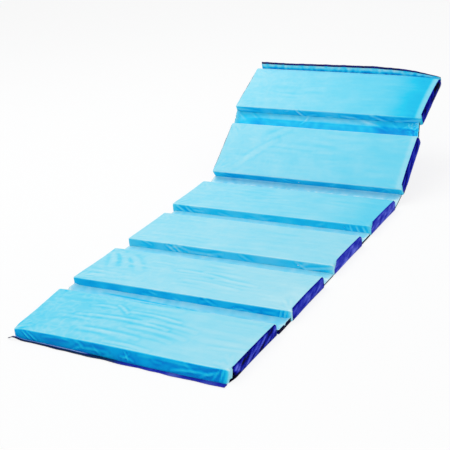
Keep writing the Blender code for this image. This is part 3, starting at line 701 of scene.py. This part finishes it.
# Each pad's side: the royal blue with painted shade, lighter or darker as that side is lit; and the
# underside's own blue
SIDE_TINTS_AND_SHADE, UNDERSIDE_DEPTH = {1: 0.45, 2: 0.56, 3: 0.76, 4: 0.76, 5: 0.42, 6: 0.27}, 0.45
SIDE_NORMAL, SIDE_BAND = 0.25, 0.03
SIDE_BULGES, BULGE_LOWERING = {1: 0.0010, 2: 0.0030, 3: 0.0035, 4: 0.0035, 5: 0.0050, 6: 0.0050}, 0.7
SIDE_FOLD, SIDE_FOLD_SPAN, FINER_SHARE, FINER_NOISE = 0.0016, 0.0085, 0.5, 4.0
SIDE_BEAD, BEAD_SPAN, WRAP_FADE = 0.0007, (0.93, 0.985), (0.6, 4.5)
# How the streaks climb and how long they are drawn, how strongly they are painted as highlights
# and shade, and the painted shade at the ends of a side, under its bead, along its foot and at the
# foot end's corner
STREAK_SLOPES, USUAL_SLOPE, STREAK_STRETCH = {1: 0.45}, 0.22, 0.22
STREAK_HIGHLIGHTS, USUAL_STREAK_HIGHLIGHT = {1: 1.0}, 0.62
END_SHADE, END_SHADE_SPAN, BEAD_SHADE = 0.42, (0.88, 0.99), 0.38
LOW_SHADE, LOW_SHADE_SPAN = 0.22, (0.22, 0.02)
CORNER_SHADE, CORNER_SHADE_SPAN, CORNER_SHADE_LENGTH = 0.6, (0.0, 0.35), 0.05

# Glossy royal blue PVC: the same sheet off polished drums. Its bright narrow streaks along the folds
# and the near black between them are painted highlights and painted shade in its tone
royal, *_ = toned_sheet(
    "glossy royal blue PVC sheet", ROYAL_COLOURS, roughness=0.3, sheen=0.006, grain=0.003846,
    detail=3.0, depth=0.0003)

for pad in PADS:
    world_points, normals, faces, blue, points, _ = covers[pad]
    across, along, height = points.T
    side = (abs(normals[:, 0]) > SIDE_NORMAL) & (abs(across) > MAT_WIDTH / 2 - SIDE_BAND)
    rise = np.clip(height / THICKNESS, 0, 1)
    middle = np.clip(2 * along / length_of(pad) - 1, -1, 1)
    climb = height - STREAK_SLOPES.get(pad, USUAL_SLOPE) * along
    streak = np.stack([np.sign(across) + pad, along * STREAK_STRETCH, climb], 1)
    folds = ripple(streak, SIDE_FOLD_SPAN) + FINER_SHARE * ripple(streak + FINER_NOISE, SIDE_FOLD_SPAN / 2)
    shape = np.sin(np.pi * rise)
    bead = smooth_step(*BEAD_SPAN, rise)
    belly = SIDE_BULGES[pad] * (1 - middle**4) * np.sin(np.pi * rise**BULGE_LOWERING)
    out = side * (belly + SIDE_FOLD * shape * folds * (1 - middle**6) + SIDE_BEAD * bead)
    out *= smooth_step(*WRAP_FADE, along / CORNER_WRAPS[pad])
    # Painted highlights on the folds' crests and painted shade between them, and painted shade at the
    # side's ends, under its bead, along its foot and at the foot end's corner
    tone = SIDE_TINTS_AND_SHADE[pad] + STREAK_HIGHLIGHTS.get(pad, USUAL_STREAK_HIGHLIGHT) * folds * np.sqrt(shape)
    tone -= END_SHADE * smooth_step(*END_SHADE_SPAN, abs(middle))
    tone -= BEAD_SHADE * bead + LOW_SHADE * smooth_step(*LOW_SHADE_SPAN, rise)
    if pad == PADS[0]:
        tone -= CORNER_SHADE * smooth_step(*CORNER_SHADE_SPAN, 1 - along / CORNER_SHADE_LENGTH - rise)
    tone = np.clip(np.where(side, tone, UNDERSIDE_DEPTH), 0, 1)
    cover = add_mesh(f"bottom_cover_{pad}", world_points + normals * out[:, None], faces[blue], royal, tone)
    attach(cover, f"panel_{pad}")
    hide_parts(f"bottom_sheet_{pad}")

# Webs: between the pads the two sheets lie on each other, pulled flat by the welds at the pads'
# feet. The light one above is crumpled into gathers, and climbs up the walls and at the sides.
# Each fold's bend, and the folds that have two creases, as they shut round two pads
FOLDS = {1: 0.0, 2: 0.0, 3: 0.0, 4: BACKREST_TILT, 5: HEAD_TILT - BACKREST_TILT}
WRAP_FOLDS = (2, 4)
# How far a crease's bend reaches, and how far past a crease the span between two pads reaches
BEND_SPAN, BLEND_SPAN, WALL_GAP = 0.005, 0.012, 0.0005
# The mesh, whose rows crowd towards the walls, and how far apart the webs lie in the noise
WEB_COLUMNS, WEB_ROWS, WALL_CROWDING, WEB_INSET, WEB_APART = 236, 33, 0.09, 0.0006, 0.37
# How the sheet lies: its level, how far it climbs at the walls, and its gathers, which die out
# near the walls and at the mat's sides
WEB_LEVEL, LEAST_LEVEL = 0.0022, 0.0012
FILLET_RISES, FILLET_SPAN = {1: 0.0070, 2: 0.0045, 3: 0.0060, 4: 0.0035, 5: 0.0050}, 0.0055
FILLET_SWAY, FILLET_SWAY_SPAN = 0.12, 0.06
GATHER_RISE, GATHER_SPAN, GATHER_STRETCH, OPEN_SPAN, END_SPAN = 0.0042, 0.026, 0.6, (0.018, 0.034), 0.016
# How high the hem is at the mat's sides: by a wall, at a crease and how fast it climbs from there
HEM_RISES, WRAP_HEM_RISE = {1: 0.012, 3: 0.006, 5: 0.012}, 0.0030
HEM_NOTCH, HEM_SLOPE, HEM_LAP = 0.0050, 1.6, 0.0006
# How deep the blue is, partly set against the shade in each fold, and the painted highlights on
# gathers, ridges and the mat's sides, with painted shade in the furrows
WEB_TINTS_AND_SHADE = {1: 0.27, 2: 0.26, 3: 0.27, 4: 0.24, 5: 0.40}
GATHER_HIGHLIGHT, WEB_CLOUD, WEB_CLOUD_SPAN, WEB_END_HIGHLIGHT = 0.18, 0.10, 0.02, 0.20
RIDGE_LIGHT_AND_SHADE, RIDGE_LIMITS = 80, (-0.001, 0.0016)
# A painted shadow line along the foot pad's rear rim crosses the first web: its depth, its half
# width, where it starts along the web, how far it shifts and over which part of the mat, and how
# far it reaches from its middle
SHADOW_LINE_DEPTH, LINE_WIDTH, LINE_START, LINE_SHIFT, LINE_PART = 0.34, 0.0030, 0.055, 0.014, (-0.22, 0.11)
LINE_MIDDLE, LINE_REACH = -0.07, (0.17, 0.12)
# The raised fold's web lies in wide facets: creases as in the table of the pads, from its wall
WEB_CREASES = {
    5: (
        ("top", (-60, 66), (-84, 30), 3, 2.0, 4.0), ("top", (127, 64), (218, 30), 4, 2.2, 5.0),
        ("top", (-230, 56), (-84, 50), 3, 1.0, 6.0), ("top", (-50, 56), (124, 52), 3, 1.1, 6.0),
        ("top", (-318, 62), (-290, 34), 0, 1.3, 4.0), ("top", (-272, 64), (-240, 36), 2, 1.3, 4.5),
        ("top", (232, 62), (262, 34), 0, 1.5, 4.5), ("top", (262, 36), (294, 62), 0, 1.5, 4.0),
        ("top", (290, 60), (316, 34), 0, 1.4, 3.5), ("top", (300, 40), (322, 56), 0, 1.3, 3.0),
    ),
}
WIDE_GATHER = 0.12
# Its blue is deeper along its front, and towards both sides of the mat, and has painted highlights
# on crumples at the right
FRONT_DEPTH, FRONT_RUN, FRONT_PART = 0.26, (0.050, 0.041), (-0.30, -0.24)
SIDE_PARTS = ((0.22, (0.16, 0.20)), (0.12, (-0.20, -0.25)))
CRUSH_HIGHLIGHT, CRUSH_SPAN, CRUSH_PART = 0.40, 0.012, (0.27, 0.31)


def on_web(across, run, height, fold):
    """Points given across the mat, along a web from wall to wall, and above its underside."""
    (front, front_angle), (rear, rear_angle) = pad_places[fold], pad_places[fold + 1]
    flat = np.stack([across, length_of(fold) + run, height], 1)
    near = on_mat(flat, front, front_angle)
    far = on_mat(flat - [0, length_of(fold) + FOLD_WIDTH, 0], rear, rear_angle)
    if fold in WRAP_FOLDS:
        angle = front_angle + FOLDS[fold] / 2
        crease = along_mat(front, front_angle, length_of(fold) + CREASE_SETBACK)
        between = on_mat(flat - [0, length_of(fold) + CREASE_SETBACK, 0], crease, angle)
        turned = smooth_step(CREASE_SETBACK - BEND_SPAN, CREASE_SETBACK + BEND_SPAN, run)[:, None]
        near = near * (1 - turned) + between * turned
        last = FOLD_WIDTH - CREASE_SETBACK
        turned = smooth_step(last - BEND_SPAN, last + BEND_SPAN, run)[:, None]
    else:
        turned = smooth_step(FOLD_WIDTH / 2 - BEND_SPAN, FOLD_WIDTH / 2 + BEND_SPAN, run)[:, None]
    placed = near * (1 - turned) + far * turned
    placed[:, 0] = across + front.x + (rear.x - front.x) * run / FOLD_WIDTH
    return placed


def hem_height(run, fold):
    """How high the royal sheet is turned up at the mat's side, lowest where a web creases."""
    if fold in WRAP_FOLDS:
        return np.full_like(run, WRAP_HEM_RISE)
    return np.minimum(HEM_RISES[fold], HEM_NOTCH + abs(run - FOLD_WIDTH / 2) * HEM_SLOPE)


def table_over(across, other):
    """Every place across by every place the other way, as two lists, and the quads over them."""
    index = np.arange(len(across) * len(other)).reshape(len(across), len(other))
    table_x, table_other = (table.ravel() for table in np.meshgrid(across, other, indexing="ij"))
    return table_x, table_other, quads_over(index)


def add_web(fold, kind, layer, laid, run, material):
    """Adds a layer of a web, as a gathered sheet of PVC laid where the web lies at rest.

    The layer is laid as its points, faces and tone. It is in two halves where it has two creases.
    """
    points, faces, tone = laid
    whole = f"web_{fold}_{kind}"
    (front, front_angle), (rear, rear_angle) = pad_places[fold], pad_places[fold + 1]
    if fold in WRAP_FOLDS:
        on_front = run[faces].mean(1) < FOLD_WIDTH / 2
        halves = [(whole + "_front", faces[on_front]), (whole + "_rear", faces[~on_front])]
        nodes = (f"web_{fold}_{layer}",)
        middle_angle = front_angle + FOLDS[fold] / 2
        wall = along_mat(front, front_angle, length_of(fold))
        crease = along_mat(front, front_angle, length_of(fold) + CREASE_SETBACK)
        spans = [(f"panel_{fold}", f"web_{fold}", wall, along_mat(crease, middle_angle, BLEND_SPAN))]
        crease = creases[f"fold_{fold}_rear_crease"]
        spans += [(f"web_{fold}", f"panel_{fold + 1}", along_mat(crease, middle_angle, -BLEND_SPAN), rear)]
    else:
        halves = [(whole, faces)]
        nodes = (f"web_{fold}_{layer}_front", f"web_{fold}_{layer}_rear")
        crease = creases[f"fold_{fold}"]
        spans = [(f"panel_{fold}", f"panel_{fold + 1}", along_mat(crease, front_angle, -BLEND_SPAN / 2),
                  along_mat(crease, rear_angle, BLEND_SPAN / 2))]
    for number, ((name, quads), (near_body, far_body, start, end)) in enumerate(zip(halves, spans)):
        piece = add_mesh(name, points, quads, material, tone)
        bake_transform(piece)
        if number == 0:
            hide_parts(*nodes)


for fold in FOLDS:
    across = np.linspace(-MAT_WIDTH / 2 + WEB_INSET, MAT_WIDTH / 2 - WEB_INSET, WEB_COLUMNS)
    share = np.linspace(0, 1, WEB_ROWS)
    run = WALL_GAP + (FOLD_WIDTH - 2 * WALL_GAP) * (share - WALL_CROWDING * np.sin(2 * np.pi * share))
    table_x, table_run, faces = table_over(across, run)
    flat = np.stack([table_x, table_run, np.zeros_like(table_x)], 1)
    own = flat + [0, fold * WEB_APART, 0]
    gather = crumple(own * [1, GATHER_STRETCH, 1], GATHER_SPAN)
    near, far = table_run, FOLD_WIDTH - table_run
    sway = 1 + FILLET_SWAY * ripple(own * [1, 0, 1], FILLET_SWAY_SPAN)
    rise = FILLET_RISES[fold] * sway * (np.exp(-near / FILLET_SPAN) + np.exp(-far / FILLET_SPAN))
    to_side = smooth_step(MAT_WIDTH / 2 - END_SPAN, MAT_WIDTH / 2, abs(table_x))
    creased = ridges(flat, WEB_CREASES.get(fold, ()), {"top": 1.0})
    gather *= smooth_step(*OPEN_SPAN, np.minimum(near, far)) * (WIDE_GATHER if fold in WEB_CREASES else 1)
    height = np.maximum(WEB_LEVEL + GATHER_RISE * gather + creased, LEAST_LEVEL) + rise
    height += to_side * (hem_height(table_run, fold) + HEM_LAP - height)
    # The web's tone: its tint set against the shade in the fold, painted highlights on the gathers, on
    # ridges and at the mat's sides, painted shade in furrows, and random clouds
    tone = WEB_TINTS_AND_SHADE[fold] - GATHER_HIGHLIGHT * gather + WEB_CLOUD * ripple(own, WEB_CLOUD_SPAN)
    tone -= RIDGE_LIGHT_AND_SHADE * np.clip(creased, *RIDGE_LIMITS) + WEB_END_HIGHLIGHT * to_side
    if fold in WEB_CREASES:
        tone += FRONT_DEPTH * smooth_step(*FRONT_RUN, table_run) * smooth_step(*FRONT_PART, table_x)
        for depth, part in SIDE_PARTS:
            tone += depth * smooth_step(*part, table_x)
        tone -= CRUSH_HIGHLIGHT * crumple(own, CRUSH_SPAN) * smooth_step(*CRUSH_PART, table_x)
    if fold == 1:
        # A painted shadow line along the foot pad's rear rim
        line_run = LINE_START - LINE_SHIFT * smooth_step(*LINE_PART, table_x)
        line = np.exp(-((table_run - line_run) / LINE_WIDTH) ** 2)
        tone += SHADOW_LINE_DEPTH * line * smooth_step(*LINE_REACH, abs(table_x - LINE_MIDDLE))
    laid = on_web(table_x, table_run, height, fold), faces, np.clip(tone, 0, 1)
    add_web(fold, "gathers", "top", laid, table_run, vinyl)

# Web undersides: the royal blue sheet of PVC lies smooth below the gathers. It is welded to them
# at the pads' feet and along the mat's two sides, where it is turned up low. The hem there is
# painted nearly black as the shade it stands in.
UNDER_COLUMNS, UNDER_ROWS, UNDER_INSET, UNDER_LEVEL, HEM_SHADE = 66, 21, 0.002, 0.0003, 0.02
# The hem's points at a side: how far in they lie, and their share of its height
HEM_EDGE = ((0.0, 1.0), (0.0, 0.66), (0.0, 0.33), (0.0, 0.12), (0.0006, 0.03))

for fold in FOLDS:
    inner = np.linspace(-MAT_WIDTH / 2 + UNDER_INSET, MAT_WIDTH / 2 - UNDER_INSET, UNDER_COLUMNS)
    run = np.linspace(WALL_GAP, FOLD_WIDTH - WALL_GAP, UNDER_ROWS)
    profile = [(-MAT_WIDTH / 2 + x, share) for x, share in HEM_EDGE] + [(x, 0.0) for x in inner]
    profile += [(MAT_WIDTH / 2 - x, share) for x, share in reversed(HEM_EDGE)]
    columns, table_run, faces = table_over(np.arange(len(profile)), run)
    table_x, shares = np.array(profile)[columns].T
    height = UNDER_LEVEL + shares * hem_height(table_run, fold)
    tone = np.where(shares > 0, HEM_SHADE, UNDERSIDE_DEPTH)
    laid = on_web(table_x, table_run, height, fold), faces, tone
    add_web(fold, "underside", "bottom", laid, table_run, royal)

# Foot seam: both sheets welded and cut along the bottom of the foot end, a stiff wavy navy edge
# that comes loose at the left corner and runs out past it as a tail.
# How far it reaches out at places across the mat, in millimetres
SEAM_REACHES = ((-325, 7), (-240, 10), (-120, 13.5), (100, 11), (325, 15))
SEAM_COLUMNS, SEAM_ROWS, SEAM_LAP, SEAM_LEVEL = 170, 9, 0.0005, 0.0018
SEAM_RISE, SEAM_RISE_SPAN, SEAM_THICK = 0.0016, 0.035, 0.0014
SEAM_SWAY, SEAM_SWAY_SPAN, RISE_NOISE = 0.22, 0.05, 3.0
TAIL_OUT, TAIL_START, TAIL_REACH, TAIL_RISE, TAIL_NARROWING = 0.013, 0.012, 0.004, 0.0010, 0.2
SEAM_COLOURS = ((0.0, "#04040F"), (0.35, "#0A1058"), (0.6, "#1A0CA6"), (1.0, "#A9C4F2"))
# How blue the seam is at the left and how much more at the right, and where its pale weld shows
SEAM_DEPTH, SEAM_BLUE, SEAM_BLUE_SPAN, SEAM_CLOUD = 0.16, 0.44, (-0.06, 0.08), 0.12
WELD_PALENESS, WELD_WIDTH, WELD_PART = 0.95, (0.45, 0.25), (-0.05, -0.10)

# Welded navy PVC edge: both sheets melted together and cut, stiff, nearly black and shiny, with a
# milky line where the weld is stretched
welded, *_ = toned_sheet(
    "welded navy PVC edge", SEAM_COLOURS, roughness=0.28, sheen=0.2, grain=0.0025, detail=2.0,
    depth=0.0003)

foot_half = MAT_WIDTH / 2 - FOOT_DRAW_IN
foot_right = foot_half + CORNER_BULGES[PADS[0]][2] / 1000 - FOOT_CORNER_IN
across = np.linspace(-foot_half - TAIL_OUT, foot_right, SEAM_COLUMNS)
depth = np.linspace(0, 1, SEAM_ROWS)
table_x, table_depth, faces = table_over(across, depth)
beyond = -table_x - foot_half
tail = smooth_step(0, TAIL_OUT + TAIL_START, beyond + TAIL_START)
flat = np.stack([table_x, np.zeros_like(table_x), np.zeros_like(table_x)], 1)
wave = ripple(flat, SEAM_SWAY_SPAN)
foot = -SEAM_LAP - FOOT_KICK * smooth_step(*FOOT_KICK_SPAN, table_x) - pull_at(table_x)
places, reaches = np.array(SEAM_REACHES).T / 1000
reach_out = np.interp(table_x, places, reaches) * (1 + SEAM_SWAY * wave) * (1 - TAIL_NARROWING * tail)
along = foot - reach_out * table_depth - TAIL_REACH * tail
rise = SEAM_RISE * (0.5 + 0.5 * ripple(flat + RISE_NOISE, SEAM_RISE_SPAN)) * table_depth
height = SEAM_LEVEL + rise + TAIL_RISE * tail
height += FOOT_LIFT * lift_at(table_x, 0.0) * smooth_step(TAIL_OUT, 0.0, beyond)
points = on_mat(np.stack([table_x, along, height], 1), *pad_places[1])
tone = SEAM_DEPTH + SEAM_BLUE * smooth_step(*SEAM_BLUE_SPAN, table_x) + SEAM_CLOUD * wave
weld_line = smooth_step(*WELD_WIDTH, table_depth) * smooth_step(*WELD_PART, table_x) * (1 - tail)
tone = np.clip(tone + (WELD_PALENESS - tone) * weld_line, 0, 1)
seam = add_mesh("foot_seam_edge", points, faces[:, ::-1], welded, tone)
solid = seam.modifiers.new("thickness", "SOLIDIFY")
solid.thickness, solid.offset = SEAM_THICK, -1
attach(seam, "panel_1")
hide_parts("foot_seam")

# Head end: the royal sheet turned up behind the last pad, and the welded flange that stands up
# behind its top edge, a crinkled light layer in front of a navy one, running down at the right.
# The flange's height above the pad is given at places across the mat, in millimetres.
FLANGE_TOP = (
    (-306, 20), (-200, 19), (0, 21), (100, 22), (180, 20), (240, 16), (275, 11), (305, 6), (324, 3))
FLANGE_COLUMNS, FLANGE_ROWS, FLANGE_GAP, LAYER_GAP, FLANGE_EDGE = 190, 11, 0.0006, 0.0016, 0.0062
FLANGE_LEAN, LEAN_SWAY, SWAY_SPAN, SWAY_NOISE = 0.008, 0.15, 0.045, 7.0
CRINKLE, CRINKLE_SPAN, CRINKLE_HEIGHT = 0.0012, 0.013, 0.02
HEAD_WALL_DEPTH, HEAD_CLOUD, HEAD_CLOUD_SPAN = 0.42, 0.15, 0.02
# The light layer's blue, the painted shade in the groove at its foot, the painted light and shade that
# follow its crinkles, and where its foot is; then the navy layer's blue and its crinkles' shading
LIGHT_DEPTH, LIGHT_FOOT_SHADE, LIGHT_CRINKLE_SHADING, LIGHT_FOOT = 0.34, 0.35, 0.4, (0.75, 0.5)
NAVY_DEPTH, NAVY_CRINKLE_SHADING = 0.40, 0.1

world_points, normals, faces, _, points, behind = covers[PADS[-1]]
tone = HEAD_WALL_DEPTH + HEAD_CLOUD * ripple(points, HEAD_CLOUD_SPAN)
head_wall = add_mesh("head_end_cover", world_points, faces[behind], royal, tone)
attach(head_wall, "panel_6")
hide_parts("head_end_wall")

places, tops = np.array(FLANGE_TOP).T / 1000
full_height = tops.max() + 2 * SHOULDER
across = np.linspace(places[0], places[-1], FLANGE_COLUMNS)
shares = np.linspace(0, 1, FLANGE_ROWS)
table_x, table_share, faces = table_over(across, shares)
top = np.interp(table_x, places, tops)
flat = np.stack([table_x, table_share * CRINKLE_HEIGHT, np.zeros_like(table_x)], 1)
crinkle = ripple(flat, CRINKLE_SPAN)
sway = 1 + LEAN_SWAY * ripple(flat * [1, 0, 1] + SWAY_NOISE, SWAY_SPAN)
base = THICKNESS - 2 * SHOULDER - sag_at(table_x, 1)
aside = table_x * (1 + bulge_at(table_x, 1, PADS[-1]) / (MAT_WIDTH / 2))
low = smooth_step(*LIGHT_FOOT, table_share)
light_tone = LIGHT_DEPTH + LIGHT_FOOT_SHADE * low + LIGHT_CRINKLE_SHADING * crinkle
navy_tone = NAVY_DEPTH + NAVY_CRINKLE_SHADING * crinkle
for layer, name, node, finish, finish_slot, tone in (
        (0, "head_flange_light", "head_flange_top", vinyl, "web_vinyl", light_tone),
        (1, "head_flange_navy", "head_flange_bottom", welded, "edge_vinyl", navy_tone)):
    tall = top - (0 if layer else FLANGE_EDGE * top / tops.max())
    rise = table_share * (tall + 2 * SHOULDER)
    back = PAD_LENGTH + FLANGE_GAP + LAYER_GAP * layer + FLANGE_LEAN * (rise / full_height) ** 2 * sway
    back += CRINKLE * crinkle * table_share
    points = on_mat(np.stack([aside, back, base + rise], 1), *pad_places[6])
    flange = add_mesh(name, points, faces, finish, np.clip(tone, 0, 1))
    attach(flange, "panel_6")
    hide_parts(node)
